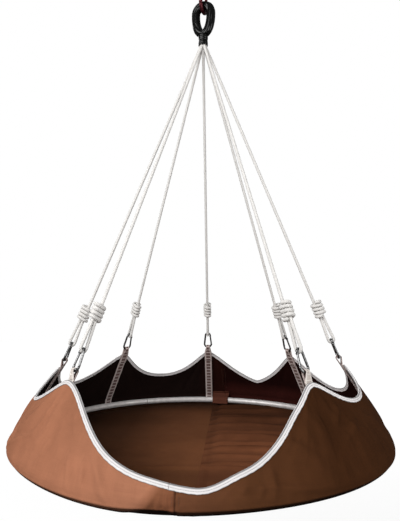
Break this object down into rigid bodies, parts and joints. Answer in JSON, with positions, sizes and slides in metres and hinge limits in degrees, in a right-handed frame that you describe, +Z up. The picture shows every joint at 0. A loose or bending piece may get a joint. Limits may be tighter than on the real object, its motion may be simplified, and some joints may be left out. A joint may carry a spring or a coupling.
{
  "type": "nest hammock",
  "caption": "Round cloth nest with a scalloped wall and a low entrance, spread by a steel ring and hung by ropes that meet in one eye under a carabiner.",
  "frame": {"origin": "inside of the carabiner's upper bow, where whatever holds the hammock bears", "axes": "+Z up, the entrance faces -Y, the back strap is at +Y, +X to the right seen from the entrance"},
  "size_m": [0.999, 0.9989, 1.3359],
  "materials": {
    "canvas": "brown cotton canvas",
    "tape": "white folded tape",
    "webbing": "grey-brown webbing with a dark stitch pattern",
    "rope": "white cord",
    "tube": "galvanised tube",
    "zinc": "zinc-plated steel",
    "black_cover": "tight black cover with a sheen",
    "red_metal": "dark red anodised"
  },
  "bodies": {
    "carabiner": {"carabiner": "red_metal"},
    "carabiner_gate": {"carabiner_gate": "red_metal"},
    "nest": {"wall_right": "canvas", "wall_left": "canvas", "floor_right": "canvas", "floor_left": "canvas", "binding_right": "tape", "binding_left": "tape", "ring_tube_1": "tube", "ring_ferrule_1": "zinc", "ring_tube_2": "tube", "ring_ferrule_2": "zinc", "ring_tube_3": "tube", "ring_ferrule_3": "zinc", "ring_tube_4": "tube", "ring_ferrule_4": "zinc", "ring_tab": "canvas", "knot_back": "rope", "hook_back": "zinc", "strap_back": "webbing", "rope_back": "rope", "knot_back_right": "rope", "hook_back_right": "zinc", "strap_back_right": "webbing", "rope_back_right": "rope", "knot_right": "rope", "hook_right": "zinc", "strap_right": "webbing", "rope_right": "rope", "knot_front_right": "rope", "hook_front_right": "zinc", "strap_front_right": "webbing", "rope_front_right": "rope", "knot_front_left": "rope", "hook_front_left": "zinc", "strap_front_left": "webbing", "rope_front_left": "rope", "knot_left": "rope", "hook_left": "zinc", "strap_left": "webbing", "rope_left": "rope", "knot_back_left": "rope", "hook_back_left": "zinc", "strap_back_left": "webbing", "rope_back_left": "rope", "neck_sleeve": "black_cover", "eye": "black_cover"},
    "hook_gate_back": {"hook_gate_back": "zinc"},
    "hook_gate_back_right": {"hook_gate_back_right": "zinc"},
    "hook_gate_right": {"hook_gate_right": "zinc"},
    "hook_gate_front_right": {"hook_gate_front_right": "zinc"},
    "hook_gate_front_left": {"hook_gate_front_left": "zinc"},
    "hook_gate_left": {"hook_gate_left": "zinc"},
    "hook_gate_back_left": {"hook_gate_back_left": "zinc"}
  },
  "joints": [
    {"name": "nest_swing", "type": "hinge", "parent": "carabiner", "child": "nest", "pos_m": [0, 0, -0.0915], "axis": [0.309, 0.9511, 0], "range_deg": [-30, 30]},
    {"name": "carabiner_gate_hinge", "type": "hinge", "parent": "carabiner", "child": "carabiner_gate", "pos_m": [0.0068, 0.02092, -0.0634], "axis": [0.9511, -0.309, 0], "range_deg": [0, 25], "stiffness_Nm_per_rad": 0.4, "springref_deg": -22.92},
    {"name": "hook_gate_back_hinge", "type": "hinge", "parent": "nest", "child": "hook_gate_back", "pos_m": [0.00837, 0.36773, -1.07144], "axis": [0, 0.9235, 0.3837], "range_deg": [0, 25], "stiffness_Nm_per_rad": 0.1, "springref_deg": -22.92},
    {"name": "hook_gate_back_right_hinge", "type": "hinge", "parent": "nest", "child": "hook_gate_back_right", "pos_m": [0.26611, 0.25447, -1.07126], "axis": [0.6586, 0.6513, 0.3769], "range_deg": [0, 25], "stiffness_Nm_per_rad": 0.1, "springref_deg": -22.92},
    {"name": "hook_gate_right_hinge", "type": "hinge", "parent": "nest", "child": "hook_gate_right", "pos_m": [0.36279, -0.00837, -1.06222], "axis": [0.927, 0, 0.3751], "range_deg": [0, 25], "stiffness_Nm_per_rad": 0.1, "springref_deg": -22.92},
    {"name": "hook_gate_front_right_hinge", "type": "hinge", "parent": "nest", "child": "hook_gate_front_right", "pos_m": [0.22997, -0.28229, -1.06423], "axis": [0.6047, -0.7023, 0.3756], "range_deg": [0, 25], "stiffness_Nm_per_rad": 0.1, "springref_deg": -22.92},
    {"name": "hook_gate_front_left_hinge", "type": "hinge", "parent": "nest", "child": "hook_gate_front_left", "pos_m": [-0.26611, -0.25447, -1.07126], "axis": [-0.6586, -0.6513, 0.3769], "range_deg": [0, 25], "stiffness_Nm_per_rad": 0.1, "springref_deg": -22.92},
    {"name": "hook_gate_left_hinge", "type": "hinge", "parent": "nest", "child": "hook_gate_left", "pos_m": [-0.37355, 0.00837, -1.0803], "axis": [-0.9257, 0, 0.3782], "range_deg": [0, 25], "stiffness_Nm_per_rad": 0.1, "springref_deg": -22.92},
    {"name": "hook_gate_back_left_hinge", "type": "hinge", "parent": "nest", "child": "hook_gate_back_left", "pos_m": [-0.25435, 0.26637, -1.07126], "axis": [-0.6586, 0.6513, 0.3769], "range_deg": [0, 25], "stiffness_Nm_per_rad": 0.1, "springref_deg": -22.92}
  ]
}
